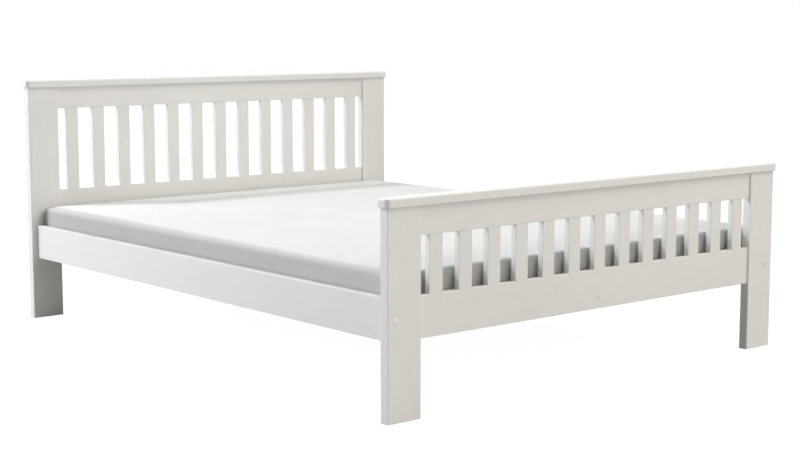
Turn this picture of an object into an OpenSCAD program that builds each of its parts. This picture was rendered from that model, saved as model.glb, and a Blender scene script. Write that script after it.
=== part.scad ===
// Slatted bed frame for a 160 x 200 cm mattress, with its mattress.
// X runs across the bed, +Y towards the head, +Z up. The origin is on the floor under the middle.

/* [Mattress] */
// Nominal width of the mattress
mattress_w = 1600; // [1400:10:1800]
// Nominal length of the mattress
mattress_l = 2000; // [1900:10:2100]
// Height of the mattress border
mattress_h = 118; // [90:1:160]
// Rise of the crowned top above the border
mattress_crown = 6; // [2:1:12]
// How far the middle of each side is drawn in
mattress_draw = 5; // [0:1:10]
// Radius of the mattress corners, seen from above
mattress_corner_r = 14; // [12:1:30]
// Radius of the soft edge round the top
mattress_edge_r = 28; // [20:1:32]
// Radius of the edge round the underside
mattress_base_r = 10; // [6:1:14]
// Free width on each side of the mattress
side_play = 5; // [3:1:10]
// Free length between the mattress and the head posts
head_play = 12; // [10:1:20]
// Free length between the mattress and the foot posts
foot_play = 24; // [14:1:40]

/* [Posts] */
// Width of a post, across the bed
post_w = 120; // [100:5:140]
// Thickness of a post, along the bed
post_t = 32; // [30:1:38]
// Height of the head posts
head_post_h = 858; // [780:2:1000]
// Height of the foot posts
foot_post_h = 600; // [540:10:700]
// Rounding of the arrises of posts, rails and slats
arris_r = 2; // [1:0.5:2]

/* [Caps] */
// Thickness of the cap boards
cap_t = 26; // [22:1:32]
// How far the caps stand proud of the posts, all round
cap_proud = 9; // [4:1:11]
// Radius of the cap corners, seen from above
cap_corner_r = 15; // [10:1:18]
// Radius of the upper edges of the caps
cap_edge_r = 5; // [3:1:8]

/* [End boards] */
// Thickness of the rails between the posts
end_rail_t = 20; // [20:1:22]
// How far the rails stand back from the foot-facing side of the posts
end_rail_set_back = 6; // [4:1:8]
// Height of the head top rail
head_top_rail_h = 80; // [60:1:100]
// Height of the foot top rail
foot_top_rail_h = 85; // [60:1:100]
// Upper edge of the head lower rail
head_gap_z = 474; // [450:2:520]
// Number of upright slats in each end board
upright_count = 13; // [7:1:13]
// Gap between an end slat and its post
upright_end_gap = 36; // [30:1:50]
// Width of an upright slat
upright_w = 50; // [40:1:60]
// Thickness of an upright slat
upright_t = 20; // [16:1:20]
// Length of a slat tenon
upright_tenon_l = 12; // [8:1:16]
// Thickness of a slat tenon
upright_tenon_t = 8; // [6:1:8]
// Shoulder at each edge of a slat tenon
upright_shoulder = 5; // [4:1:8]
// Length of a rail tenon
rail_tenon_l = 20; // [15:1:30]
// Thickness of a rail tenon
rail_tenon_t = 10; // [8:1:12]
// Shoulder above and below a rail tenon
rail_shoulder = 10; // [8:1:14]

/* [Side rails] */
// Height of the side rails and of the foot lower rail
side_rail_h = 122; // [115:1:150]
// Thickness of the side rails
side_rail_t = 22; // [20:1:28]
// Height of the lower edge of the side rails above the floor
side_rail_z = 226; // [210:2:230]
// How far the side rails stand in from the outer edge of the posts
side_rail_inset = 20; // [16:1:30]
// Width of the ledge inside a side rail
ledge_w = 30; // [26:1:36]
// Height of the ledge
ledge_h = 30; // [24:1:36]
// Free rail at each end of the ledge
ledge_end = 60; // [50:1:68]

/* [Bed base] */
// Number of bed slats
slat_count = 14; // [10:1:16]
// Width of a bed slat
slat_w = 70; // [60:5:80]
// Thickness of a bed slat
slat_t = 16; // [14:1:20]
// Height of the top of the bed slats
slat_top_z = 300; // [296:1:310]
// Free length between the posts and the first and last bed slats
slat_end_gap = 70; // [68:1:90]
// Free width at each end of a bed slat
slat_play = 3; // [2:1:5]
// Width of the centre beam
beam_w = 60; // [56:2:70]
// Height of the centre beam
beam_h = 40; // [38:1:46]
// Side of the square centre leg
leg_w = 50; // [40:5:60]

/* [Bolts] */
// Height of the side rail bolts above the floor
rail_bolt_z = 285; // [280:1:292]
// Diameter of a bolt shank
bolt_d = 6; // [5:0.5:7]
// Diameter of a bolt head
bolt_head_d = 17; // [14:1:20]
// Thickness of a bolt head
bolt_head_t = 2; // [1.5:0.5:3]
// Distance across the flats of the hexagon socket
bolt_socket_af = 4; // [3:0.5:4]
// Depth of the hexagon socket
bolt_socket_depth = 3; // [2:0.5:4]
// Distance from the joint face to the middle of the barrel nut
nut_depth = 35; // [30:1:40]
// Diameter of a barrel nut
nut_d = 10; // [9:1:12]
// Length of a barrel nut
nut_l = 16; // [12:1:17]
// Length of bolt beyond the middle of the barrel nut
bolt_past_nut = 8; // [7:1:12]

/* [Dowels and screws] */
// Diameter of a dowel
dowel_d = 8; // [6:1:8]
// Depth of a dowel in the piece that it is glued into
dowel_deep = 24; // [18:1:28]
// Depth of a dowel in the other piece
dowel_shallow = 12; // [8:1:14]
// Distance of the side rail dowels above and below the bolt
rail_dowel_dz = 40; // [30:1:42]
// Distance of the beam dowels from the bolt
beam_dowel_dx = 20; // [16:1:21]
// Number of dowels under a cap
cap_dowel_count = 5; // [3:2:9]
// Diameter of a screw shank
screw_d = 4; // [3.5:0.5:5]
// Diameter of a screw head
screw_head_d = 8; // [7:0.5:9]
// Length of the screws that hold the bed slats
slat_screw_l = 35; // [30:1:40]
// Length of the screws that hold the ledges
ledge_screw_l = 42; // [38:1:46]
// Diameter of the hanger bolt in the centre leg
hanger_d = 8; // [6:1:10]
// Depth of the hanger bolt in the beam
hanger_up = 30; // [20:1:34]
// Depth of the hanger bolt in the leg
hanger_down = 45; // [30:5:60]

/* [Hidden] */
$fn = 48;
paint = [0.87, 0.86, 0.84];
timber = [0.85, 0.72, 0.53];
steel = [0.72, 0.73, 0.74];
ticking = [0.95, 0.95, 0.96];

left = -1;
right = 1;
foot = -1;
head = 1;

fit_gap = 0.1;       // clearance round dowels, screws, tenons and nuts
bore_gap = 0.5;      // spare depth of blind holes and mortises, and clearance round a bolt
seat_gap = 0.3;      // clearance under the loose mattress
open_by = 1;         // how far a cut runs past the face that it opens in
arc_steps = 3;       // flats in a quarter round
slot_w = 1.5;        // screwdriver slot in a barrel nut
slot_depth = 2;
screw_tip = 4;       // tapered end of a screw

// Overall sizes, worked out from the mattress outwards
overall_w = mattress_w + 2 * (side_play + side_rail_t + side_rail_inset);
side_rail_l = mattress_l + head_play + foot_play;
inner_w = overall_w - 2 * post_w;
post_x = (overall_w - post_w) / 2;
post_y = (side_rail_l + post_t) / 2;
side_rail_x = overall_w / 2 - side_rail_inset - side_rail_t / 2;
side_rail_top = side_rail_z + side_rail_h;
ledge_x = side_rail_x - (side_rail_t + ledge_w) / 2;
ledge_l = side_rail_l - 2 * ledge_end;

// Bed base, hung from the top of the bed slats
slat_bottom_z = slat_top_z - slat_t;
slat_pitch = (side_rail_l - 2 * slat_end_gap - slat_w) / (slat_count - 1);
slat_l = 2 * (side_rail_x - side_rail_t / 2 - slat_play);
ledge_z = slat_bottom_z - ledge_h / 2;
beam_z = slat_bottom_z - beam_h / 2;
beam_foot_y = end_rail_y(foot) + end_rail_t / 2;
beam_head_y = end_rail_y(head) - end_rail_t / 2;
leg_h = slat_bottom_z - beam_h;

upright_pitch = (inner_w - 2 * upright_end_gap - upright_w) / (upright_count - 1);
upright_tenon_w = upright_w - 2 * upright_shoulder;
cap_l = overall_w + 2 * cap_proud;
cap_w = post_t + 2 * cap_proud;

mattress_y = (foot_play - head_play) / 2;
mattress_z = slat_top_z + seat_gap;

// Places that depend on the end of the bed, and places of what repeats

function end_rail_y(end) = end * post_y + end_rail_set_back + (end_rail_t - post_t) / 2;

function top_rail_z(end) = end > 0 ? head_post_h - head_top_rail_h : foot_post_h - foot_top_rail_h;

function upright_x(i) = (i - (upright_count + 1) / 2) * upright_pitch;

function slat_y(i) = (i - (slat_count + 1) / 2) * slat_pitch;

function cap_dowel_x(i) = post_x * (2 * i / (cap_dowel_count - 1) - 1);

// Outlines

function arc(x, y, r, start) =
    [for (i = [0 : arc_steps]) let (a = start + 90 * i / arc_steps) [x + r * cos(a), y + r * sin(a)]];

// A rectangle about the origin, with its upper and lower corners rounded
function rounded(w, h, top_r, base_r) = concat(
    arc(w / 2 - top_r, h / 2 - top_r, top_r, 0),
    arc(top_r - w / 2, h / 2 - top_r, top_r, 90),
    arc(base_r - w / 2, base_r - h / 2, base_r, 180),
    arc(w / 2 - base_r, base_r - h / 2, base_r, 270)
);

// Boards with rounded arrises, centred on the origin and running along one axis

module board_x(l, w, h, top_r = arris_r, base_r = arris_r) {
    rotate([90, 0, 90]) linear_extrude(l, center = true) polygon(rounded(w, h, top_r, base_r));
}

module board_y(l, w, h, top_r = arris_r, base_r = arris_r) {
    rotate([90, 0, 0]) linear_extrude(l, center = true) polygon(rounded(w, h, top_r, base_r));
}

module board_z(l, w, h, r = arris_r) {
    linear_extrude(l, center = true) polygon(rounded(w, h, r, r));
}

// Round bars and bores between two places on one axis

module round_x(x0, x1, y, z, d) {
    translate([min(x0, x1), y, z]) rotate([0, 90, 0]) cylinder(h = abs(x1 - x0), d = d);
}

module round_y(x, y0, y1, z, d) {
    translate([x, min(y0, y1), z]) rotate([-90, 0, 0]) cylinder(h = abs(y1 - y0), d = d);
}

module round_z(x, y, z0, z1, d) {
    translate([x, y, min(z0, z1)]) cylinder(h = abs(z1 - z0), d = d);
}

// Joint between a side rail and a post: a bolt with a dowel above and below it

module rail_dowel_bores(side, end) {
    joint_y = end * side_rail_l / 2;
    for (dz = [-rail_dowel_dz, rail_dowel_dz])
        round_y(
            side * side_rail_x,
            joint_y - end * (dowel_deep + bore_gap),
            joint_y + end * (dowel_shallow + bore_gap),
            rail_bolt_z + dz,
            dowel_d + 2 * fit_gap
        );
}

module rail_bolt_bore(side, end) {
    joint_y = end * side_rail_l / 2;
    round_y(
        side * side_rail_x,
        joint_y - end * (nut_depth + bolt_past_nut + bore_gap),
        joint_y + end * (post_t + open_by),
        rail_bolt_z,
        bolt_d + 2 * bore_gap
    );
}

// Joint between the centre beam and an end board: a bolt with a dowel on each side of it

module beam_dowel_bores(end) {
    joint_y = end > 0 ? beam_head_y : beam_foot_y;
    for (dx = [-beam_dowel_dx, beam_dowel_dx])
        round_y(
            dx,
            joint_y - end * (dowel_deep + bore_gap),
            joint_y + end * (dowel_shallow + bore_gap),
            beam_z,
            dowel_d + 2 * fit_gap
        );
}

module beam_bolt_bore(end) {
    joint_y = end > 0 ? beam_head_y : beam_foot_y;
    round_y(
        0,
        joint_y - end * (nut_depth + bolt_past_nut + bore_gap),
        joint_y + end * (end_rail_t + open_by),
        beam_z,
        bolt_d + 2 * bore_gap
    );
}

module cap_dowel_bores(end, joint_z) {
    for (i = [0 : cap_dowel_count - 1])
        round_z(
            cap_dowel_x(i),
            end_rail_y(end),
            joint_z - dowel_deep - bore_gap,
            joint_z + dowel_shallow + bore_gap,
            dowel_d + 2 * fit_gap
        );
}

// Posts

module rail_mortise(side, end, z0, z1) {
    depth = rail_tenon_l + bore_gap + open_by;
    translate([side * (inner_w / 2 - open_by + depth / 2), end_rail_y(end), (z0 + z1) / 2])
        cube([depth, rail_tenon_t + 2 * fit_gap, z1 - z0 - 2 * rail_shoulder + 2 * fit_gap], center = true);
}

module post(side, end, h, lower_rail_top) {
    color(paint)
        difference() {
            translate([side * post_x, end * post_y, h / 2]) board_z(h, post_w, post_t);
            rail_mortise(side, end, top_rail_z(end), h);
            rail_mortise(side, end, side_rail_z, lower_rail_top);
            rail_dowel_bores(side, end);
            rail_bolt_bore(side, end);
            cap_dowel_bores(end, h);
        }
}

module head_post_left() { post(left, head, head_post_h, head_gap_z); }

module head_post_right() { post(right, head, head_post_h, head_gap_z); }

module foot_post_left() { post(left, foot, foot_post_h, side_rail_top); }

module foot_post_right() { post(right, foot, foot_post_h, side_rail_top); }

// Caps

// A board with round corners whose edges run on round them
module cap_board() {
    r = cap_corner_r;
    board_x(cap_l - 2 * r, cap_w, cap_t, cap_edge_r);
    board_y(cap_w - 2 * r, cap_l, cap_t, cap_edge_r);
    for (side = [left, right], end = [foot, head])
        translate([side * (cap_l / 2 - r), end * (cap_w / 2 - r), 0])
            rotate_extrude()
                polygon(concat(
                    [[0, -cap_t / 2]],
                    arc(r - arris_r, arris_r - cap_t / 2, arris_r, 270),
                    arc(r - cap_edge_r, cap_t / 2 - cap_edge_r, cap_edge_r, 0),
                    [[0, cap_t / 2]]
                ));
}

module cap(end, z) {
    color(paint)
        difference() {
            translate([0, end * post_y, z + cap_t / 2]) cap_board();
            cap_dowel_bores(end, z);
        }
}

module head_cap() { cap(head, head_post_h); }

module foot_cap() { cap(foot, foot_post_h); }

// Rails of the end boards, tenoned into the posts and mortised for the upright slats

module upright_mortises(end, z) {
    depth = 2 * (upright_tenon_l + bore_gap);
    for (i = [1 : upright_count])
        translate([upright_x(i), end_rail_y(end), z])
            cube([upright_tenon_w + 2 * fit_gap, upright_tenon_t + 2 * fit_gap, depth], center = true);
}

module tenoned_rail(end, z0, z1) {
    translate([0, end_rail_y(end), (z0 + z1) / 2]) {
        board_x(inner_w, end_rail_t, z1 - z0);
        cube([inner_w + 2 * rail_tenon_l, rail_tenon_t, z1 - z0 - 2 * rail_shoulder], center = true);
    }
}

module top_rail(end, h) {
    color(paint)
        difference() {
            tenoned_rail(end, top_rail_z(end), h);
            upright_mortises(end, top_rail_z(end));
            cap_dowel_bores(end, h);
        }
}

module lower_rail(end, top_z) {
    color(paint)
        difference() {
            tenoned_rail(end, side_rail_z, top_z);
            upright_mortises(end, top_z);
            beam_dowel_bores(end);
            beam_bolt_bore(end);
        }
}

module head_top_rail() { top_rail(head, head_post_h); }

module foot_top_rail() { top_rail(foot, foot_post_h); }

module head_lower_rail() { lower_rail(head, head_gap_z); }

module foot_lower_rail() { lower_rail(foot, side_rail_top); }

// Upright slats, with a tenon at each end

module upright(i, end, z0, z1) {
    color(paint)
        translate([upright_x(i), end_rail_y(end), (z0 + z1) / 2]) {
            board_z(z1 - z0, upright_w, upright_t);
            cube([upright_tenon_w, upright_tenon_t, z1 - z0 + 2 * upright_tenon_l], center = true);
        }
}

module head_slat(i) { upright(i, head, head_gap_z, top_rail_z(head)); }

module foot_slat(i) { upright(i, foot, side_rail_top, top_rail_z(foot)); }

// Side rails and their ledges

module nut_bore(side, end) {
    round_x(
        side * (side_rail_x - side_rail_t / 2 - open_by),
        side * (side_rail_x + nut_l / 2 + bore_gap),
        end * (side_rail_l / 2 - nut_depth),
        rail_bolt_z,
        nut_d + 2 * fit_gap
    );
}

module side_rail(side) {
    color(paint)
        difference() {
            translate([side * side_rail_x, 0, side_rail_z + side_rail_h / 2])
                board_y(side_rail_l, side_rail_t, side_rail_h);
            for (end = [foot, head]) {
                rail_dowel_bores(side, end);
                rail_bolt_bore(side, end);
                nut_bore(side, end);
            }
            ledge_screw_row(side, fit_gap);
        }
}

module side_rail_left() { side_rail(left); }

module side_rail_right() { side_rail(right); }

module ledge(side) {
    color(timber)
        difference() {
            translate([side * ledge_x, 0, ledge_z]) board_y(ledge_l, ledge_w, ledge_h);
            ledge_screw_row(side, fit_gap);
            slat_screw_row(side, fit_gap);
        }
}

module ledge_left() { ledge(left); }

module ledge_right() { ledge(right); }

// Bed base

module centre_beam() {
    color(timber)
        difference() {
            translate([0, (beam_foot_y + beam_head_y) / 2, beam_z])
                board_y(beam_head_y - beam_foot_y, beam_w, beam_h);
            for (end = [foot, head]) {
                beam_dowel_bores(end);
                beam_bolt_bore(end);
                round_z(
                    0, beam_nut_y(end),
                    leg_h - open_by, beam_z + nut_l / 2 + bore_gap, nut_d + 2 * fit_gap
                );
            }
            round_z(0, 0, leg_h - open_by, leg_h + hanger_up + bore_gap, hanger_d + 2 * fit_gap);
        }
}

module centre_leg() {
    color(timber)
        difference() {
            translate([0, 0, leg_h / 2]) board_z(leg_h, leg_w, leg_w);
            round_z(0, 0, leg_h - hanger_down - bore_gap, leg_h + open_by, hanger_d + 2 * fit_gap);
        }
}

module leg_hanger_bolt() {
    color(steel) round_z(0, 0, leg_h - hanger_down, leg_h + hanger_up, hanger_d);
}

module bed_slats() {
    color(timber)
        for (i = [1 : slat_count])
            difference() {
                translate([0, slat_y(i), slat_top_z - slat_t / 2]) board_x(slat_l, slat_w, slat_t);
                slat_screw(left, i, fit_gap);
                slat_screw(right, i, fit_gap);
            }
}

// Bolts and barrel nuts

function beam_nut_y(end) = end > 0 ? beam_head_y - nut_depth : beam_foot_y + nut_depth;

// A flat-headed bolt that points up, with the underside of its head at the origin
module bolt(l) {
    rim = bolt_head_t / 2;
    difference() {
        union() {
            cylinder(h = l, d = bolt_d);
            rotate_extrude()
                polygon([
                    [0, -bolt_head_t],
                    [bolt_head_d / 2 - rim, -bolt_head_t],
                    [bolt_head_d / 2, -rim],
                    [bolt_head_d / 2, 0],
                    [0, 0]
                ]);
        }
        translate([0, 0, -bolt_head_t - open_by])
            cylinder(h = bolt_socket_depth + open_by, d = bolt_socket_af / cos(30), $fn = 6);
    }
}

// A barrel nut along Z, tapped along Y and slotted at its lower end
module barrel_nut() {
    difference() {
        cylinder(h = nut_l, d = nut_d, center = true);
        rotate([90, 0, 0]) cylinder(h = nut_d + 2 * open_by, d = bolt_d + 2 * fit_gap, center = true);
        translate([0, 0, -nut_l / 2])
            cube([slot_w, nut_d + 2 * open_by, 2 * slot_depth], center = true);
    }
}

module rail_bolts() {
    color(steel)
        for (side = [left, right], end = [foot, head])
            translate([side * side_rail_x, end * (side_rail_l / 2 + post_t), rail_bolt_z])
                rotate([90 * end, 0, 0]) bolt(post_t + nut_depth + bolt_past_nut);
}

module rail_barrel_nuts() {
    color(steel)
        for (side = [left, right], end = [foot, head])
            translate([side * side_rail_x, end * (side_rail_l / 2 - nut_depth), rail_bolt_z])
                rotate([0, 90 * side, 0]) barrel_nut();
}

module beam_bolts() {
    color(steel)
        for (end = [foot, head])
            translate([0, end_rail_y(end) + end * end_rail_t / 2, beam_z])
                rotate([90 * end, 0, 0]) bolt(end_rail_t + nut_depth + bolt_past_nut);
}

module beam_barrel_nuts() {
    color(steel)
        for (end = [foot, head])
            translate([0, beam_nut_y(end), beam_z]) barrel_nut();
}

// Dowels

module rail_dowels() {
    color(timber)
        for (side = [left, right], end = [foot, head], dz = [-rail_dowel_dz, rail_dowel_dz])
            round_y(
                side * side_rail_x,
                end * (side_rail_l / 2 - dowel_deep),
                end * (side_rail_l / 2 + dowel_shallow),
                rail_bolt_z + dz,
                dowel_d
            );
}

module beam_dowels() {
    color(timber)
        for (dx = [-beam_dowel_dx, beam_dowel_dx]) {
            round_y(dx, beam_foot_y - dowel_shallow, beam_foot_y + dowel_deep, beam_z, dowel_d);
            round_y(dx, beam_head_y - dowel_deep, beam_head_y + dowel_shallow, beam_z, dowel_d);
        }
}

module cap_dowels() {
    color(timber)
        for (i = [0 : cap_dowel_count - 1]) {
            round_z(
                cap_dowel_x(i), end_rail_y(head),
                head_post_h - dowel_deep, head_post_h + dowel_shallow, dowel_d
            );
            round_z(
                cap_dowel_x(i), end_rail_y(foot),
                foot_post_h - dowel_deep, foot_post_h + dowel_shallow, dowel_d
            );
        }
}

// Screws

// A countersunk screw that points down from its head at the origin, or its hole when it has a gap
module screw(l, gap) {
    head_r = screw_head_d / 2 + gap;
    shank_r = screw_d / 2 + gap;
    rotate_extrude()
        polygon([
            [0, gap],
            [head_r, gap],
            [head_r, 0],
            [shank_r, shank_r - head_r],
            [shank_r, screw_tip - l - gap],
            [0, -l - 2 * gap]
        ]);
}

module slat_screw(side, i, gap = 0) {
    translate([side * ledge_x, slat_y(i), slat_top_z - fit_gap]) screw(slat_screw_l, gap);
}

module slat_screw_row(side, gap = 0) {
    for (i = [1 : slat_count])
        slat_screw(side, i, gap);
}

// Between every second pair of bed slats
module ledge_screw_row(side, gap = 0) {
    for (i = [1 : 2 : slat_count - 1])
        translate([side * (ledge_x - ledge_w / 2 + fit_gap), slat_y(i + 0.5), ledge_z])
            rotate([0, -90 * side, 0]) screw(ledge_screw_l, gap);
}

module ledge_screws() {
    color(steel)
        for (side = [left, right])
            ledge_screw_row(side);
}

module slat_screws() {
    color(steel)
        for (side = [left, right])
            slat_screw_row(side);
}

// Mattress: rings of one outline, from the underside over the soft edge to the crown

side_steps = 6;      // stretches along each side of the mattress
corner_steps = 5;    // stretches round each corner
edge_steps = 5;      // rings over the soft edge
crown_steps = 6;     // rings from the soft edge to the middle
crown_flat = 0.86;   // share of the half width that the crown rises over
border_bulge = 2;    // how far the middle of the border stands out past its rims

// One side and one corner of the outline, in a frame where that side faces +Y
function mattress_run(half_l, half_w, r, draw) = concat(
    [for (i = [0 : side_steps - 1]) let (u = 1 - 2 * i / side_steps)
        [u * (half_l - r), half_w - draw * (1 - u * u)]],
    [for (i = [0 : corner_steps - 1]) let (a = 90 + 90 * i / corner_steps)
        [r - half_l + r * cos(a), half_w - r + r * sin(a)]]
);

function turned(points, a) = [for (p = points) [p.x * cos(a) - p.y * sin(a), p.x * sin(a) + p.y * cos(a)]];

function mattress_ring(inset, z) =
    let (
        half_w = mattress_w / 2 - inset,
        half_l = mattress_l / 2 - inset,
        r = max(mattress_corner_r - inset, mattress_edge_r / 2),
        draw = mattress_draw * half_w / (mattress_w / 2),
        long_side = mattress_run(half_l, half_w, r, draw),
        short_side = mattress_run(half_w, half_l, r, draw)
    )
    [for (p = concat(short_side, turned(long_side, 90), turned(short_side, 180), turned(long_side, 270)))
        [p.x, p.y + mattress_y, mattress_z + z]];

function base_rings() =
    [for (i = [0 : 2]) let (a = 45 * i)
        mattress_ring(border_bulge + mattress_base_r * (1 - sin(a)), mattress_base_r * (1 - cos(a)))];

function edge_rings() =
    [for (i = [0 : edge_steps]) let (a = 90 * i / edge_steps)
        mattress_ring(
            border_bulge + mattress_edge_r * (1 - cos(a)),
            mattress_h - mattress_edge_r * (1 - sin(a))
        )];

function crown_rings() =
    [for (i = [1 : crown_steps]) let (
            u = i / crown_steps,
            reach = crown_flat * mattress_w / 2 - mattress_edge_r
        )
        mattress_ring(
            border_bulge + mattress_edge_r + reach * u * u,
            mattress_h + mattress_crown * (1 - pow(1 - u * u, 2))
        )];

module mattress() {
    rings = concat(base_rings(), [mattress_ring(0, mattress_h / 2)], edge_rings(), crown_rings());
    n = len(rings[0]);
    last = len(rings) - 1;
    points = [for (ring = rings) each ring];
    walls = [for (k = [0 : last - 1], i = [0 : n - 1]) let (j = (i + 1) % n)
        each [[k * n + i, (k + 1) * n + i, k * n + j], [k * n + j, (k + 1) * n + i, (k + 1) * n + j]]];
    base = [for (i = [1 : n - 2]) [0, i, i + 1]];
    top = [for (i = [1 : n - 2]) [last * n, last * n + i + 1, last * n + i]];
    color(ticking) polyhedron(points, concat(walls, base, top));
}

head_post_left();
head_post_right();
foot_post_left();
foot_post_right();
head_cap();
foot_cap();
head_top_rail();
foot_top_rail();
head_lower_rail();
foot_lower_rail();
for (i = [1 : upright_count]) {
    head_slat(i);
    foot_slat(i);
}
side_rail_left();
side_rail_right();
ledge_left();
ledge_right();
centre_beam();
centre_leg();
leg_hanger_bolt();
bed_slats();
rail_bolts();
rail_barrel_nuts();
beam_bolts();
beam_barrel_nuts();
rail_dowels();
beam_dowels();
cap_dowels();
ledge_screws();
slat_screws();
mattress();
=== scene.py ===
"""Slatted double bed: the finishes of its boards, its fasteners and its mattress, on the packed frame."""

import math
import random

import bmesh
import bpy
from bpy.props import FloatProperty, FloatVectorProperty, IntProperty, PointerProperty
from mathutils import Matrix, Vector


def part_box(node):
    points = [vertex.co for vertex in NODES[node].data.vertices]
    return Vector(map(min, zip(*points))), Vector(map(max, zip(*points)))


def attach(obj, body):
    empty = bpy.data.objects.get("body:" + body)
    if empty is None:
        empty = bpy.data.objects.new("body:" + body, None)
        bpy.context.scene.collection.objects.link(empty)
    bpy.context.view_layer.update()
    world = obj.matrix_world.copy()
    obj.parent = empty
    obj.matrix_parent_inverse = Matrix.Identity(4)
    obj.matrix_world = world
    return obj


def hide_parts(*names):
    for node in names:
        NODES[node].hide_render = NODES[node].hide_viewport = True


bl_info = {
    "name": "Slatted Bed",
    "version": (1, 0, 0),
    "blender": (4, 5, 0),
    "location": "3D View > Sidebar > Bed",
    "description": "Finishes, fasteners and mattress of a slatted double bed",
    "category": "Object",
}

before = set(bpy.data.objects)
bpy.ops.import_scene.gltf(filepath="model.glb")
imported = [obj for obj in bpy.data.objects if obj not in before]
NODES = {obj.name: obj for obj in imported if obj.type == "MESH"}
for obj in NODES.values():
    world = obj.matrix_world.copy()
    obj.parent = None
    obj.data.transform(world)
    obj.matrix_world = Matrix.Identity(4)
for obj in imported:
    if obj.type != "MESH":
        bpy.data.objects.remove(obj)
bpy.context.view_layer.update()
MM = 0.001

# Boards by the way that their grain runs
PAINTED = {
    "X": [f"{end}_{board}" for end in ("head", "foot") for board in ("cap", "top_rail", "lower_rail")],
    "Y": ["side_rail_left", "side_rail_right"],
    "Z": [name for name in NODES if "_post_" in name or name.startswith(("head_slat_", "foot_slat_"))],
}
BARE = {
    "X": ["bed_slats"],
    "Y": ["ledge_left", "ledge_right", "centre_beam"],
    "Z": ["centre_leg"],
}
DOWELS = {"Y": ["rail_dowels", "beam_dowels"], "Z": ["cap_dowels"]}
PLATED = ["rail_barrel_nuts", "beam_barrel_nuts", "leg_hanger_bolt"]

BED_SLATS = 14
BED_SLAT_W = 70 * MM
LEDGE_SCREWS = 7
SCREW_SEED = 7
RAIL_STEP = 350 * MM

COOL_LAMPS = ("key", "low", "top", "left")
WARM_LAMPS = ("front", "side", "high")
LAMP_AIM = Vector((0, 0, 0.35))
SENSOR_W = 36
FLOOR_DROP = 0.5 * MM
FACING = 0.9
NEAR = 1 * MM


def colour_prop(name, description, default):
    """A colour that the user can change."""
    return FloatVectorProperty(
        name=name, description=description, default=default, subtype="COLOR", size=3, min=0, max=1
    )


def length_prop(name, description, default):
    """A length in metres that the user can change."""
    return FloatProperty(
        name=name, description=description, default=default, unit="LENGTH", min=0, precision=4
    )


def share_prop(name, description, default):
    """A share from 0 to 1 that the user can change."""
    return FloatProperty(name=name, description=description, default=default, subtype="FACTOR", min=0, max=1)


def power_prop(name, description, default):
    """The power of a lamp in watts."""
    return FloatProperty(name=name, description=description, default=default, unit="POWER", min=0)


def place_prop(name, description, default):
    """A place in metres that the user can change."""
    return FloatVectorProperty(
        name=name, description=description, default=default, subtype="TRANSLATION", size=3
    )


class BedStageSettings(bpy.types.PropertyGroup):
    """Light, floor and camera."""

    sky_level: FloatProperty(name="Sky level", description="Light from all round", default=0.095, min=0)
    sky_cool: colour_prop("Sky behind", "Light from behind and left", (0.97, 0.99, 1.0))
    sky_warm: colour_prop("Sky in front", "Light from the foot of the bed", (1.0, 0.97, 0.92))
    floor_bounce: share_prop("Floor bounce", "Share of light the floor gives back", 0.44)
    floor_glow: share_prop("Floor glow", "How bright the floor itself looks", 0.975)
    cool: colour_prop("Cool light", "Colour of the lamps above, behind and left", (0.955, 0.985, 1.0))
    warm: colour_prop("Warm light", "Colour of the lamps in front", (1.0, 0.955, 0.90))
    key_power: power_prop("Key light", "Far lamp high behind the headboard, left", 1260)
    key_place: place_prop("Key place", "Where the key light hangs", (-10.0, 7.5, 10.0))
    key_size: length_prop("Key size", "Side of the key light", 2.2)
    low_power: power_prop("Low light", "Lamp low behind the headboard, left", 65)
    low_place: place_prop("Low place", "Where the low light stands", (-3.6, 3.0, 1.6))
    low_size: length_prop("Low size", "Side of the low light", 1.4)
    top_power: power_prop("Top light", "Wide lamp over the bed", 38)
    top_place: place_prop("Top place", "Where the top light hangs", (0.0, 0.0, 4.0))
    top_size: length_prop("Top size", "Side of the top light", 4.0)
    left_power: power_prop("Left light", "Lamp beside the bed, left", 5)
    left_place: place_prop("Left place", "Where the left light stands", (-4.5, 0.0, 1.3))
    left_size: length_prop("Left size", "Side of the left light", 2.4)
    front_power: power_prop("Front light", "Wide lamp at the foot", 50)
    front_place: place_prop("Front place", "Where the front light stands", (0.0, -5.0, 1.5))
    front_size: length_prop("Front size", "Side of the front light", 3.0)
    side_power: power_prop("Side light", "Far lamp at the foot, right", 665)
    side_place: place_prop("Side place", "Where the side light stands", (8.7, -8.7, 8.6))
    side_size: length_prop("Side size", "Side of the side light", 5.0)
    high_power: power_prop("High light", "Far lamp high over the foot, right", 468)
    high_place: place_prop("High place", "Where the high light hangs", (5.5, -6.6, 12.3))
    high_size: length_prop("High size", "Side of the high light", 5.0)
    focal: FloatProperty(name="Focal length", description="Of a 36 mm wide sensor", default=70.98, min=1)
    camera_place: place_prop("Camera", "Place of the camera", (-3.5386, -4.2995, 1.1006))
    camera_pitch: FloatProperty(
        name="Pitch", description="How far it looks down", default=math.radians(7.42), subtype="ANGLE"
    )
    camera_heading: FloatProperty(
        name="Heading", description="Turn from +Y towards +X", default=math.radians(40.09), subtype="ANGLE"
    )


class BedPaintSettings(bpy.types.PropertyGroup):
    """White lacquer of the posts, rails, caps and slats."""

    colour: colour_prop("Lacquer", "Colour of the lacquer", (0.827, 0.819, 0.799))
    # Painted top light: the lighter colour that upward faces get, standing in for light falling on them
    painted_top_light_colour: colour_prop("Painted top light", "Colour of the lacquer on upward faces", (0.93, 0.93, 0.92))
    gloss: share_prop("Roughness", "Roughness of the dry lacquer", 0.40)
    coat: share_prop("Clear coat", "Share of the clear top coat", 0.35)
    coat_rough: share_prop("Coat roughness", "Roughness of the clear top coat", 0.22)
    grain_depth: length_prop("Grain depth", "Depth of the grain under the lacquer", 0.12 * MM)
    peel_depth: length_prop("Peel depth", "Depth of the sprayed texture", 0.05 * MM)


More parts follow.
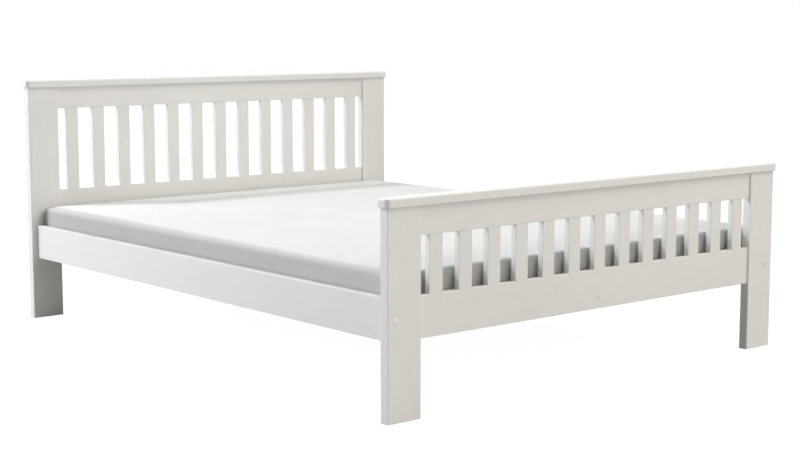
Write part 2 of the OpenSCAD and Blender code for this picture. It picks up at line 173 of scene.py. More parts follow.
class BedTimberSettings(bpy.types.PropertyGroup):
    """Bare pine of the bed base."""

    pale: colour_prop("Spring wood", "Pale bands between the rings", (0.74, 0.56, 0.36))
    dark: colour_prop("Ring", "Dark rings of the pine", (0.56, 0.35, 0.17))
    knot: colour_prop("Knot", "Knots of the pine", (0.22, 0.10, 0.045))
    grain_depth: length_prop("Grain depth", "Depth of the planed grain", 0.25 * MM)


class BedHardwareSettings(bpy.types.PropertyGroup):
    """Connector bolts and wood screws."""

    zinc: colour_prop("Zinc", "Colour of the zinc plating", (0.56, 0.57, 0.58))
    pit_depth: length_prop("Pit depth", "Depth of the plating's fine pits", 0.03 * MM)
    bolt_head_d: length_prop("Bolt head", "Diameter of a bolt head", 17 * MM)
    bolt_head_t: length_prop("Bolt head height", "Thickness of a bolt head", 2 * MM)
    bolt_rim: length_prop("Bolt rim", "Rounding of a bolt head's rim", 0.9 * MM)
    bolt_d: length_prop("Bolt", "Diameter of a bolt shank", 6 * MM)
    socket: length_prop("Socket", "Width across the socket's flats", 4 * MM)
    socket_depth: length_prop("Socket depth", "Depth of the hexagon socket", 3 * MM)
    screw_head_d: length_prop("Screw head", "Diameter of a screw head", 8 * MM)
    screw_d: length_prop("Screw", "Diameter of a screw shank", 4 * MM)
    cross_l: length_prop("Cross", "Length of the cross recess", 4.4 * MM)
    cross_w: length_prop("Cross width", "Width of the cross recess", 1.0 * MM)
    cross_depth: length_prop("Cross depth", "Depth of the cross recess", 1.8 * MM)


class BedMattressSettings(bpy.types.PropertyGroup):
    """Foam mattress in a plain white cover."""

    cover: colour_prop("Cover", "Colour of the knitted cover on top", (0.93, 0.935, 0.93))
    # The border's grey is partly a greyer cloth and partly painted shade of the sides: it is darker near the
    # head than near the foot, and the ends are darker than the foot, as painted shade
    border: colour_prop("Border", "Colour of the long sides near the head", (0.56, 0.554, 0.55))
    border_foot: colour_prop("Border, foot", "Colour of the long sides near the foot", (0.665, 0.663, 0.667))
    end_border_painted_shade: colour_prop("Border, ends", "Colour of the head and foot ends", (0.59, 0.585, 0.58))
    border_fall: length_prop("Border fall", "How much lower it begins near the foot", 2 * MM)
    base: colour_prop("Base", "Colour of the underside", (0.50, 0.505, 0.51))
    change_high: length_prop("Change, upper end", "Depth where the border's colour begins", 5 * MM)
    change_low: length_prop("Change, lower end", "Depth where most of it has changed", 11.5 * MM)
    fade_high: length_prop("Fade, upper end", "Depth where the rest begins to change", 16 * MM)
    fade_low: length_prop("Fade, lower end", "Depth where the colour is full", 34 * MM)
    end_high: length_prop("Ends, upper end", "Depth where the ends' colour begins", 11 * MM)
    end_low: length_prop("Ends, lower end", "Depth where the ends' colour is full", 17 * MM)
    fade_share: share_prop("Fade share", "Share of the change within the fade", 0.25)
    corner_r: length_prop("Corner", "Radius of the upright corners", 8 * MM)
    edge_r: length_prop("Top edge", "Radius of the edge round the top", 6 * MM)
    base_r: length_prop("Base edge", "Radius of the edge round the underside", 9 * MM)
    dome_w: length_prop("Dome width", "How far in from the edge the top slopes down", 50 * MM)
    dome_side: length_prop("Dome, sides", "How far the top slopes down to the long sides", 10 * MM)
    dome_end: length_prop("Dome, ends", "How far the top slopes down to the ends", 10 * MM)
    start_inset: length_prop("Start inset", "How much smaller the mattress starts", 1 * MM)
    head_reach: length_prop("Head reach", "How far the cover reaches on to the headboard", 8 * MM)
    foot_reach: length_prop("Foot reach", "How far the cover reaches on to the footboard", 19 * MM)
    swell_cap: length_prop("Swell cap", "How far a point may move", 3 * MM)
    swell_ease: length_prop("Swell ease", "Distance from an edge where it may move fully", 50 * MM)
    crown: length_prop("Crown", "Rise of the top towards the middle", 6 * MM)
    draw: length_prop("Draw", "How far the middle of a side is drawn in", 4 * MM)
    voxel: length_prop("Voxel", "Size of the cover's faces", 11 * MM)
    seam_z: length_prop("Seam height", "Height above the underside", 14 * MM)
    seam_depth: length_prop("Seam depth", "Depth of the seam", 1.6 * MM)
    seam_half: length_prop("Seam half width", "Half the width of the seam", 2.2 * MM)
    stitch: length_prop("Stitch", "Width of a knitted stitch", 1.6 * MM)
    knit_depth: length_prop("Knit depth", "Depth of the rows of loops", 0.25 * MM)
    fuzz_depth: length_prop("Fuzz depth", "Depth of the fine fuzz", 0.06 * MM)
    swell_frames: IntProperty(
        name="Swell frames", description="Steps of the cloth simulation", default=20, min=1
    )


SETTINGS = {
    "bed_stage": BedStageSettings,
    "bed_paint": BedPaintSettings,
    "bed_timber": BedTimberSettings,
    "bed_hardware": BedHardwareSettings,
    "bed_mattress": BedMattressSettings,
}


# Shader nodes


def add_node(tree, kind, **values):
    """A node of a tree. A value is for the property of that name, or else for the input."""
    node = tree.nodes.new(kind)
    for name, value in values.items():
        if hasattr(node, name):
            setattr(node, name, value)
        else:
            node.inputs[name.replace("_", " ").capitalize()].default_value = value
    return node


def wire(tree, *pairs):
    """Joins each output to its input."""
    for source, target in pairs:
        tree.links.new(source, target)


def feed(tree, socket, value):
    """Gives an input a plain value, a colour or the output of a node. None changes nothing."""
    if isinstance(value, bpy.types.NodeSocket):
        tree.links.new(value, socket)
    elif socket.type == "RGBA":
        socket.default_value = (*value, 1)
    elif value is not None:
        socket.default_value = value


def maths(tree, operation, first, second=None):
    """The output of a Math node on one or two values or outputs."""
    node = add_node(tree, "ShaderNodeMath", operation=operation)
    for socket, value in zip(node.inputs, (first, second)):
        feed(tree, socket, value)
    return node.outputs[0]


def vector_maths(tree, operation, first, second=None):
    """The vector output of a Vector Math node on one or two vectors or outputs."""
    node = add_node(tree, "ShaderNodeVectorMath", operation=operation)
    for socket, value in zip(node.inputs, (first, second)):
        feed(tree, socket, value)
    return node.outputs[0]


def scaled(tree, colour, factor):
    """A colour times the output of a node."""
    node = add_node(tree, "ShaderNodeVectorMath", operation="SCALE")
    feed(tree, node.inputs[0], colour)
    feed(tree, node.inputs["Scale"], factor)
    return node.outputs[0]


def mixed(tree, factor, first, second):
    """The colour output of a Mix node."""
    node = add_node(tree, "ShaderNodeMix", data_type="RGBA")
    inputs = [socket for socket in node.inputs if socket.enabled]
    for socket, value in zip(inputs, (factor, first, second)):
        feed(tree, socket, value)
    return next(socket for socket in node.outputs if socket.enabled)


def remapped(tree, value, low, high, start=0.0, end=1.0):
    """A value from start to end mapped to low to high, smoothly."""
    node = add_node(tree, "ShaderNodeMapRange", interpolation_type="SMOOTHSTEP")
    tree.links.new(value, node.inputs["Value"])
    node.inputs["From Min"].default_value = start
    node.inputs["From Max"].default_value = end
    node.inputs["To Min"].default_value = low
    node.inputs["To Max"].default_value = high
    return node.outputs[0]


def new_group(name, inputs, outputs):
    """A shader node group with its input and output nodes. Sockets are (name, kind) pairs."""
    group = bpy.data.node_groups.new(name, "ShaderNodeTree")
    for socket, kind in inputs:
        group.interface.new_socket(name=socket, in_out="INPUT", socket_type="NodeSocket" + kind)
    for socket, kind in outputs:
        group.interface.new_socket(name=socket, in_out="OUTPUT", socket_type="NodeSocket" + kind)
    return group, group.nodes.new("NodeGroupInput").outputs, group.nodes.new("NodeGroupOutput").inputs


def grain_group():
    """Pine grain: fine fibres, growth rings and knots, with its own pattern on each board."""
    name = "board_grain"
    if name in bpy.data.node_groups:
        return bpy.data.node_groups[name]
    group, given, result = new_group(
        name,
        [(socket, "Vector") for socket in ("Vector", "Board Steps", "Fibre Scale", "Ring Scale")],
        [("Fibre", "Float"), ("Rings", "Float"), ("Knots", "Float")],
    )
    steps = vector_maths(group, "MULTIPLY", given["Vector"], given["Board Steps"])
    board = vector_maths(group, "FLOOR", vector_maths(group, "ADD", steps, (0.5, 0.5, 0.5)))
    white = add_node(group, "ShaderNodeTexWhiteNoise", noise_dimensions="3D")
    wire(group, (board, white.inputs["Vector"]))
    shift = vector_maths(group, "MULTIPLY", white.outputs["Color"], (3.1, 2.3, 4.7))
    place = vector_maths(group, "ADD", given["Vector"], shift)

    fibre = add_node(group, "ShaderNodeTexNoise", Scale=1.0, Detail=5.0, Roughness=0.65)
    wire(group, (vector_maths(group, "MULTIPLY", place, given["Fibre Scale"]), fibre.inputs["Vector"]))
    wire(group, (fibre.outputs[0], result["Fibre"]))

    ring_place = vector_maths(group, "MULTIPLY", place, given["Ring Scale"])
    knots = add_node(group, "ShaderNodeTexVoronoi", feature="F1", Scale=0.42, Randomness=1.0)
    wire(group, (ring_place, knots.inputs["Vector"]))
    near_knot = remapped(group, knots.outputs["Distance"], 1.0, 0.0, start=0.02, end=0.20)
    in_knot = remapped(group, knots.outputs["Distance"], 1.0, 0.0, start=0.030, end=0.052)
    wire(group, (in_knot, result["Knots"]))

    growth = add_node(group, "ShaderNodeTexNoise", Scale=1.0, Detail=1.5, Roughness=0.4)
    wire(group, (ring_place, growth.inputs["Vector"]))
    ring_count = 13.0
    rings_round_knot = 2.2
    late_wood = 2.2
    bands = maths(group, "MULTIPLY", growth.outputs[0], ring_count)
    swirl = maths(group, "ADD", bands, maths(group, "MULTIPLY", near_knot, rings_round_knot))
    ring = maths(group, "PINGPONG", swirl, 0.5)
    wire(group, (maths(group, "POWER", maths(group, "MULTIPLY", ring, 2.0), late_wood), result["Rings"]))
    return group


def mottle_group():
    """Slow variation of a value over a surface, between Low and High."""
    name = "soft_mottle"
    if name in bpy.data.node_groups:
        return bpy.data.node_groups[name]
    group, given, result = new_group(
        name,
        [("Vector", "Vector"), ("Scale", "Float"), ("Low", "Float"), ("High", "Float")],
        [("Value", "Float")],
    )
    cloud = add_node(group, "ShaderNodeTexNoise", Detail=3.0, Roughness=0.55)
    wire(group, (given["Vector"], cloud.inputs["Vector"]), (given["Scale"], cloud.inputs["Scale"]))
    spread = maths(group, "SUBTRACT", given["High"], given["Low"])
    level = remapped(group, cloud.outputs[0], 0.0, 1.0, start=0.3, end=0.7)
    above_low = maths(group, "MULTIPLY", spread, level)
    wire(group, (maths(group, "ADD", given["Low"], above_low), result["Value"]))
    return group


def knit_group():
    """Rows of knitted loops on a flat map, as a height and a shade."""
    name = "knit_stitch"
    if name in bpy.data.node_groups:
        return bpy.data.node_groups[name]
    group, given, result = new_group(
        name, [("Vector", "Vector"), ("Stitch", "Float")], [("Height", "Float"), ("Shade", "Float")]
    )
    parts = add_node(group, "ShaderNodeSeparateXYZ")
    wire(group, (given["Vector"], parts.inputs[0]))
    column = maths(group, "DIVIDE", parts.outputs[0], given["Stitch"])
    row = maths(group, "DIVIDE", parts.outputs[1], given["Stitch"])
    lean = maths(group, "PINGPONG", column, 0.5)
    slanted = maths(group, "ADD", row, lean)
    turn = 2 * math.pi
    across = maths(group, "COSINE", maths(group, "MULTIPLY", column, 2 * turn))
    along = maths(group, "COSINE", maths(group, "MULTIPLY", slanted, turn))
    height = maths(group, "ADD", maths(group, "MULTIPLY", across, 0.2), maths(group, "MULTIPLY", along, 0.3))
    height = maths(group, "ADD", height, 0.5)
    wire(group, (height, result["Height"]), (remapped(group, height, 0.93, 1.0), result["Shade"]))
    return group


def new_material(name, **sockets):
    """A material with its Principled shader, its Object coordinates and plain socket values."""
    material = bpy.data.materials.new(name)
    material.use_nodes = True
    tree = material.node_tree
    shader = tree.nodes["Principled BSDF"]
    for socket, value in sockets.items():
        shader.inputs[socket.replace("_", " ")].default_value = value
    return material, tree, shader, add_node(tree, "ShaderNodeTexCoord")


def placed_group(tree, group, vector, **values):
    """A node group in a material, fed with a vector."""
    node = add_node(tree, "ShaderNodeGroup", node_tree=group)
    tree.links.new(vector, node.inputs["Vector"])
    for socket, value in values.items():
        node.inputs[socket.replace("_", " ")].default_value = value
    return node.outputs


def bumps(tree, shader, *layers):
    """Bump nodes in a row, one for each (height, depth) pair, into the shader's normal."""
    last = None
    for height, depth in layers:
        bump = add_node(tree, "ShaderNodeBump", Strength=1.0, Distance=depth)
        wire(tree, (height, bump.inputs["Height"]))
        if last is not None:
            wire(tree, (last.outputs[0], bump.inputs["Normal"]))
        last = bump
    wire(tree, (last.outputs[0], shader.inputs["Normal"]))


def by_axis(axis, along, across):
    """A vector with one value along an axis and another across it."""
    return tuple(along if name == axis else across for name in "XYZ")


def paint_material(axis, settings, board_steps):
    """White satin lacquer over pine whose grain runs along an axis, with upward faces painted lighter as
    painted top light.
    """
    material, tree, shader, coordinates = new_material(
        f"white_lacquer_{axis.lower()}",
        IOR=1.5,
        Coat_Weight=settings.coat,
        Coat_Roughness=settings.coat_rough,
    )
    place = coordinates.outputs["Object"]
    grain = placed_group(
        tree,
        grain_group(),
        place,
        Board_Steps=board_steps,
        Fibre_Scale=by_axis(axis, 9.0, 420.0),
        Ring_Scale=by_axis(axis, 0.9, 9.0),
    )
    mottle = placed_group(tree, mottle_group(), place, Scale=3.5, Low=0.975, High=1.0)
    gloss = settings.gloss
    sheen = placed_group(tree, mottle_group(), place, Scale=11.0, Low=gloss - 0.05, High=gloss + 0.06)
    ring_tint = remapped(tree, grain["Rings"], 1.0, 0.988)
    tint = maths(tree, "MULTIPLY", mottle["Value"], ring_tint)
    # Painted top light: faces that point upwards blend into the lighter colour, standing in for light
    # falling on them
    facing = add_node(tree, "ShaderNodeSeparateXYZ")
    wire(tree, (coordinates.outputs["Normal"], facing.inputs[0]))
    painted_top_light = remapped(tree, facing.outputs["Z"], 0.0, 1.0, start=0.2, end=0.8)
    lacquer = mixed(tree, painted_top_light, settings.colour, settings.painted_top_light_colour)
    colour = scaled(tree, lacquer, tint)
    wire(tree, (colour, shader.inputs["Base Color"]), (sheen["Value"], shader.inputs["Roughness"]))
    peel = add_node(tree, "ShaderNodeTexNoise", Scale=520.0, Detail=2.0, Roughness=0.5)
    wire(tree, (place, peel.inputs["Vector"]))
    bumps(
        tree,
        shader,
        (grain["Fibre"], settings.grain_depth),
        (grain["Rings"], settings.grain_depth * 0.5),
        (peel.outputs[0], settings.peel_depth),
    )
    return material


def timber_material(name, axis, settings, board_steps=(0, 0, 0), ring_share=0.55, knot_share=0.8):
    """Planed pine whose grain runs along an axis."""
    material, tree, shader, coordinates = new_material(name, IOR=1.45)
    place = coordinates.outputs["Object"]
    grain = placed_group(
        tree,
        grain_group(),
        place,
        Board_Steps=board_steps,
        Fibre_Scale=by_axis(axis, 14.0, 620.0),
        Ring_Scale=by_axis(axis, 1.1, 11.0),
    )
    mottle = placed_group(tree, mottle_group(), place, Scale=4.0, Low=0.90, High=1.06)
    streak = remapped(tree, grain["Fibre"], 0.90, 1.05, start=0.3, end=0.7)
    rings = maths(tree, "MULTIPLY", grain["Rings"], ring_share)
    wood = mixed(tree, rings, settings.pale, settings.dark)
    knots = maths(tree, "MULTIPLY", grain["Knots"], knot_share)
    wood = mixed(tree, knots, wood, settings.knot)
    toned = scaled(tree, wood, maths(tree, "MULTIPLY", mottle["Value"], streak))
    wire(tree, (toned, shader.inputs["Base Color"]))
    wire(tree, (remapped(tree, grain["Rings"], 0.66, 0.54), shader.inputs["Roughness"]))
    bumps(
        tree,
        shader,
        (grain["Fibre"], settings.grain_depth),
        (grain["Rings"], settings.grain_depth * 0.6),
    )
    return material


def zinc_material(settings):
    """Bright zinc plating with a faint haze."""
    material, tree, shader, coordinates = new_material("bright_zinc", Metallic=1.0)
    place = coordinates.outputs["Object"]
    haze = placed_group(tree, mottle_group(), place, Scale=260.0, Low=0.32, High=0.44)
    tone = placed_group(tree, mottle_group(), place, Scale=90.0, Low=0.90, High=1.04)
    colour = scaled(tree, settings.zinc, tone["Value"])
    wire(tree, (colour, shader.inputs["Base Color"]), (haze["Value"], shader.inputs["Roughness"]))
    pits = add_node(tree, "ShaderNodeTexNoise", Scale=1400.0, Detail=2.0)
    wire(tree, (place, pits.inputs["Vector"]))
    bumps(tree, shader, (pits.outputs[0], settings.pit_depth))
    return material


def cloth_material(settings, low, high):
    """Knitted cloth of a mattress in a box, its rows of loops on the piece's own map.

    The white of the top changes into the border's colour in two steps on the long sides and in one on the
    ends, and the border meets the colour of the underside. The border's grey is partly a greyer cloth and
    partly painted shade of the sides; it is darker near the head than near the foot, and darker on the ends
    than near the foot, as painted shade.
    """
    material, tree, shader, coordinates = new_material(
        "knitted_cover", Sheen_Weight=0.12, Sheen_Roughness=0.45, Specular_IOR_Level=0.25
    )
    flat = coordinates.outputs["UV"]
    place = coordinates.outputs["Object"]
    knit = placed_group(tree, knit_group(), flat, Stitch=settings.stitch)
    mottle = placed_group(tree, mottle_group(), place, Scale=5.0, Low=0.975, High=1.0)
    parts = add_node(tree, "ShaderNodeSeparateXYZ")
    facing = add_node(tree, "ShaderNodeSeparateXYZ")
    wire(tree, (place, parts.inputs[0]), (coordinates.outputs["Normal"], facing.inputs[0]))
    along = maths(tree, "ABSOLUTE", facing.outputs["Y"])
    across = maths(tree, "ABSOLUTE", facing.outputs["X"])
    on_end = remapped(tree, maths(tree, "SUBTRACT", along, across), 0.0, 1.0, start=-0.05, end=0.05)
    height = parts.outputs["Z"]
    to_foot = remapped(tree, parts.outputs["Y"], 1.0, 0.0, low.y, high.y)
    lowered = maths(tree, "ADD", height, maths(tree, "MULTIPLY", to_foot, settings.border_fall))
    top = high.z
    share = settings.fade_share
    change = remapped(tree, lowered, 0.0, 1.0 - share, top - settings.change_low, top - settings.change_high)
    fade = remapped(tree, lowered, 0.0, share, top - settings.fade_low, top - settings.fade_high)
    # Painted shade: the long sides are darker near the head than near the foot
    border = mixed(tree, to_foot, settings.border, settings.border_foot)
    beside = mixed(tree, maths(tree, "ADD", change, fade), border, settings.cover)
    # Painted shade: the ends take a darker colour than the long sides near the foot
    end_change = remapped(tree, height, 0.0, 1.0, top - settings.end_low, top - settings.end_high)
    ends = mixed(tree, end_change, settings.end_border_painted_shade, settings.cover)
    upper = mixed(tree, on_end, beside, ends)
    base_top = low.z + settings.base_r
    over_base = remapped(tree, height, 0.0, 1.0, base_top, base_top + NEAR)
    colour = mixed(tree, over_base, settings.base, upper)
    tinted = scaled(tree, colour, maths(tree, "MULTIPLY", mottle["Value"], knit["Shade"]))
    wire(tree, (tinted, shader.inputs["Base Color"]))
    rough = placed_group(tree, mottle_group(), place, Scale=30.0, Low=0.82, High=0.92)
    wire(tree, (rough["Value"], shader.inputs["Roughness"]))
    fuzz = add_node(tree, "ShaderNodeTexNoise", Scale=900.0, Detail=2.0)
    wire(tree, (place, fuzz.inputs["Vector"]))
    bumps(tree, shader, (knit["Height"], settings.knit_depth), (fuzz.outputs[0], settings.fuzz_depth))
    return material


def dress(names, material):
    """Gives the CAD nodes of these names a finish."""
    for name in names:
        for material_slot in NODES[name].material_slots:
            material_slot.material = material


# Modelling


def clear_selection():
    """Object mode, with nothing selected."""
    if bpy.context.mode != "OBJECT":
        bpy.ops.object.mode_set(mode="OBJECT")
    bpy.ops.object.select_all(action="DESELECT")


def make_active(piece):
    """Selects one piece alone."""
    clear_selection()
    piece.select_set(True)
    bpy.context.view_layer.objects.active = piece


def pick(piece, kind, wanted):
    """In edit mode, selects the verts, edges or faces that a test wants."""
    bpy.context.tool_settings.mesh_select_mode = (kind == "verts", kind == "edges", kind == "faces")
    shape = bmesh.from_edit_mesh(piece.data)
    bpy.ops.mesh.select_all(action="DESELECT")
    chosen = [part for part in getattr(shape, kind) if wanted(part)]
    for part in chosen:
        part.select_set(True)
    shape.select_flush_mode()
    bmesh.update_edit_mesh(piece.data)
    if not chosen:
        raise RuntimeError(f"{piece.name}: none of its {kind} match")


def apply_place(piece):
    """Puts a piece's place into its mesh."""
    make_active(piece)
    bpy.ops.object.transform_apply(location=True, rotation=True, scale=True)


def apply_modifier(piece, modifier):
    """Applies one modifier of a piece."""
    make_active(piece)
    bpy.ops.object.modifier_apply(modifier=modifier.name)


def cut(piece, cutter):
    """Cuts a piece with another one, which goes."""
    boolean = piece.modifiers.new("Cut", "BOOLEAN")
    boolean.operation = "DIFFERENCE"
    boolean.solver = "EXACT"
    boolean.object = cutter
    apply_modifier(piece, boolean)
    bpy.data.objects.remove(cutter)


def copied(piece, place, turn):
    """A copy of a piece with its own mesh, turned and moved to its place."""
    twin = piece.copy()
    twin.data = piece.data.copy()
    bpy.context.scene.collection.objects.link(twin)
    twin.location = place
    twin.rotation_euler = turn
    apply_place(twin)
    return twin


def joined(pieces, name):
    """Joins pieces into one."""
    clear_selection()
    for piece in pieces:
        piece.select_set(True)
    bpy.context.view_layer.objects.active = pieces[0]
    bpy.ops.object.join()
    pieces[0].name = pieces[0].data.name = name
    return pieces[0]


def finish_piece(piece, material, body, slot, *replaced):
    """Gives a piece its finish, its body and the CAD nodes that it stands for."""
    piece.data.materials.clear()
    piece.data.materials.append(material)
    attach(piece, body)
    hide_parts(*replaced)


def model_bolt(grip, settings):
    """A flat-headed bolt along +Z, with the underside of its head at the origin."""
    head_r = settings.bolt_head_d / 2
    head_t = settings.bolt_head_t
    point = 0.8 * MM
    clear_selection()
    bpy.ops.mesh.primitive_cylinder_add(
        vertices=48, radius=head_r, depth=head_t, location=(0, 0, -head_t / 2)
    )
    bolt = bpy.context.object
    apply_place(bolt)
    bpy.ops.object.mode_set(mode="EDIT")
    pick(bolt, "faces", lambda face: face.normal.z > FACING)
    bpy.ops.mesh.inset(thickness=head_r - settings.bolt_d / 2)
    bpy.ops.mesh.extrude_region_move(TRANSFORM_OT_translate={"value": (0, 0, grip)})
    bpy.ops.mesh.inset(thickness=point)
    bpy.ops.transform.translate(value=(0, 0, point))
    pick(bolt, "edges", lambda edge: all(vert.co.z < -head_t / 2 for vert in edge.verts))
    bpy.ops.mesh.bevel(offset=settings.bolt_rim, segments=4, affect="EDGES")
    bpy.ops.object.mode_set(mode="OBJECT")
    bpy.ops.mesh.primitive_cylinder_add(
        vertices=6,
        radius=settings.socket / 2 / math.cos(math.pi / 6),
        depth=2 * settings.socket_depth,
        location=(0, 0, -head_t),
    )
    cut(bolt, bpy.context.object)
    make_active(bolt)
    bpy.ops.object.shade_smooth_by_angle(angle=math.radians(35))
    return bolt


def model_screw(length, settings):
    """A countersunk wood screw along -Z, with the top of its head at the origin."""
    head_r = settings.screw_head_d / 2
    shank_r = settings.screw_d / 2
    cone = head_r - shank_r
    rim = 0.4 * MM
    tip = 4 * MM
    tip_r = 0.4 * MM
    clear_selection()
    bpy.ops.mesh.primitive_cylinder_add(vertices=24, radius=head_r, depth=rim, location=(0, 0, -rim / 2))
    screw = bpy.context.object
    apply_place(screw)
    bpy.ops.object.mode_set(mode="EDIT")
    pick(screw, "faces", lambda face: face.normal.z < -FACING)
    for drop, radius in ((cone, shank_r), (length - cone - tip - rim, shank_r), (tip, tip_r)):
        bpy.ops.mesh.extrude_region_move(TRANSFORM_OT_translate={"value": (0, 0, -drop)})
        shape = bmesh.from_edit_mesh(screw.data)
        for vert in (v for v in shape.verts if v.select):
            vert.co.xy = vert.co.xy.normalized() * radius
        bmesh.update_edit_mesh(screw.data)
    bpy.ops.object.mode_set(mode="OBJECT")
    for size in ((settings.cross_l, settings.cross_w), (settings.cross_w, settings.cross_l)):
        bpy.ops.mesh.primitive_cube_add(size=1, scale=(*size, 2 * settings.cross_depth))
        cut(screw, bpy.context.object)
    make_active(screw)
    bpy.ops.object.shade_smooth_by_angle(angle=math.radians(30))
    return screw


# Mattress


def mattress_block(settings, low, high):
    """A block with rounded corners and edges, and with finer faces near its corners and top edges."""
    clear_selection()
    bpy.ops.mesh.primitive_cube_add(size=1, location=(low + high) / 2, scale=high - low)
    block = bpy.context.object
    apply_place(block)
    bpy.ops.object.mode_set(mode="EDIT")
    pick(block, "edges", lambda edge: abs(edge.verts[0].co.z - edge.verts[1].co.z) > NEAR)
    bpy.ops.mesh.bevel(offset=settings.corner_r, segments=4, affect="EDGES")
    pick(block, "edges", lambda edge: all(vert.co.z > high.z - NEAR for vert in edge.verts))
    bpy.ops.mesh.bevel(offset=settings.edge_r, segments=3, affect="EDGES")
    pick(block, "edges", lambda edge: all(vert.co.z < low.z + NEAR for vert in edge.verts))
    bpy.ops.mesh.bevel(offset=settings.base_r, segments=3, affect="EDGES")
    bpy.ops.object.mode_set(mode="OBJECT")
    remesh = block.modifiers.new("Faces", "REMESH")
    remesh.mode = "VOXEL"
    remesh.voxel_size = settings.voxel
    apply_modifier(block, remesh)
    bpy.ops.object.mode_set(mode="EDIT")
    reach = 1.6 * settings.voxel
    pick(block, "faces", lambda face: near_edge(face.calc_center_median(), low, high, reach))
    bpy.ops.mesh.subdivide(number_cuts=1, ngon=False)
    bpy.ops.object.mode_set(mode="OBJECT")
    return block


def inward(place, low, high):
    """How far a place lies inside each side of a box, the nearer of the two along each axis."""
    return Vector(min(place[i] - low[i], high[i] - place[i]) for i in range(3))


def near_edge(place, low, high, reach):
    """Whether a place on a box lies near one of the top edges or upright corners."""
    gaps = inward(place, low, high)
    beside = min(gaps.x, gaps.y) < reach
    return beside and (high.z - place.z < reach or max(gaps.x, gaps.y) < reach)


def edge_distance(place, low, high):
    """How far a place on a box lies from the nearest edge."""
    return sorted(inward(place, low, high))[1]


def trued(place, settings, low, high):
    """A place near the surface of a box, moved onto the same box with rounded corners and edges."""
    middle_place = (low + high) / 2
    half = (high - low) / 2
    away = Vector((abs(place.x - middle_place.x) - half.x, abs(place.y - middle_place.y) - half.y))
    corner = settings.corner_r
    past = away + Vector((corner, corner))
    if past.x > 0 and past.y > 0:
        depth = corner - past.length
        outward = past.normalized()
    else:
        depth = -max(away)
        outward = Vector((1, 0)) if away.x > away.y else Vector((0, 1))
    above = place.z > middle_place.z
    radius = settings.edge_r if above else settings.base_r
    rise = abs(place.z - middle_place.z) - (half.z - radius)
    across = radius - depth
    if rise > 0 and across > 0:
        stretch = radius / math.hypot(rise, across)
        new_depth = radius - across * stretch
        new_rise = rise * stretch
    elif rise > 0:
        new_depth, new_rise = depth, radius
    else:
        new_depth, new_rise = 0.0, rise
    step = outward * (depth - new_depth)
    side_x = math.copysign(1, place.x - middle_place.x)
    side_y = math.copysign(1, place.y - middle_place.y)
    new_z = middle_place.z + math.copysign(half.z - radius + new_rise, place.z - middle_place.z)
    return Vector((place.x + side_x * step.x, place.y + side_y * step.y, new_z))


def shape_mattress(block, settings, low, high):
    """Trues the roundings, slopes the top down to its edges, crowns it and draws the long sides in."""
    centre = (low + high) / 2
    half = (high - low) / 2
    for vert in block.data.vertices:
        vert.co = trued(vert.co, settings, low, high)
        u = max(-1.0, min(1.0, (vert.co.x - centre.x) / half.x))
        v = max(-1.0, min(1.0, (vert.co.y - centre.y) / half.y))
        level = max(0.0, min(1.0, (vert.co.z - low.z) / (high.z - low.z)))
        gaps = inward(vert.co, low, high)
        side_fall = settings.dome_side * max(0.0, 1 - gaps.x / settings.dome_w) ** 2
        end_fall = settings.dome_end * max(0.0, 1 - gaps.y / settings.dome_w) ** 2
        crown = (1 - u**4) * (1 - v**4)
        vert.co.z += settings.crown * crown * level**3 - math.hypot(side_fall, end_fall) * level
        vert.co.x -= math.copysign(settings.draw * (1 - v * v) * abs(u) ** 8, u)


def swell(piece, settings, low, high):
    """Fills the cover by a short cloth simulation. A point moves less, the nearer it lies to an edge."""
    start = [vert.co.copy() for vert in piece.data.vertices]
    held_h = 4 * MM
    held = piece.vertex_groups.new(name="held")
    held.add([i for i, place in enumerate(start) if place.z < low.z + held_h], 1.0, "REPLACE")
    cloth = piece.modifiers.new("Swell", "CLOTH")
    cloth.settings.use_pressure = True
    cloth.settings.uniform_pressure_force = 4
    cloth.settings.vertex_group_mass = held.name
    cloth.settings.effector_weights.gravity = 0
    cloth.point_cache.frame_end = settings.swell_frames
    scene = bpy.context.scene
    for frame in range(1, settings.swell_frames + 1):
        scene.frame_set(frame)
    apply_modifier(piece, cloth)
    scene.frame_set(1)
    for vert, place in zip(piece.data.vertices, start):
        step = vert.co - place
        cap = settings.swell_cap * min(1.0, edge_distance(place, low, high) / settings.swell_ease)
        if step.length > cap:
            step.length = cap
        vert.co = place + step
        vert.co.z = max(vert.co.z, low.z)
    piece.vertex_groups.clear()


def sew_seam(piece, settings, low, high):
    """Presses a seam into the border, a little above the underside."""
    make_active(piece)
    bpy.ops.object.mode_set(mode="EDIT")
    level = low.z + settings.seam_z
    for height in (level - settings.seam_half, level, level + settings.seam_half):
        bpy.ops.mesh.select_all(action="SELECT")
        bpy.ops.mesh.bisect(plane_co=(0, 0, height), plane_no=(0, 0, 1))
    pick(piece, "verts", lambda vert: abs(vert.co.z - level) < NEAR / 10)
    bpy.ops.transform.shrink_fatten(value=-settings.seam_depth)
    bpy.ops.object.mode_set(mode="OBJECT")


class BED_OT_painted_boards(bpy.types.Operator):
    """Lacquer the posts, caps, rails and upright slats."""

    bl_idname = "bed.painted_boards"
    bl_label = "Painted boards"

    def execute(self, context):
        settings = context.scene.bed_paint
        slats = [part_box(f"foot_slat_{i}") for i in (1, 2)]
        pitch = slats[1][0].x - slats[0][0].x
        # Patterns per metre along each axis, so that each board has its own
        steps = {"X": (0, 0, 1 / RAIL_STEP), "Y": (1, 0, 0), "Z": (1 / pitch, 0.5, 0)}
        for axis, names in PAINTED.items():
            dress(names, paint_material(axis, settings, steps[axis]))
        return {"FINISHED"}


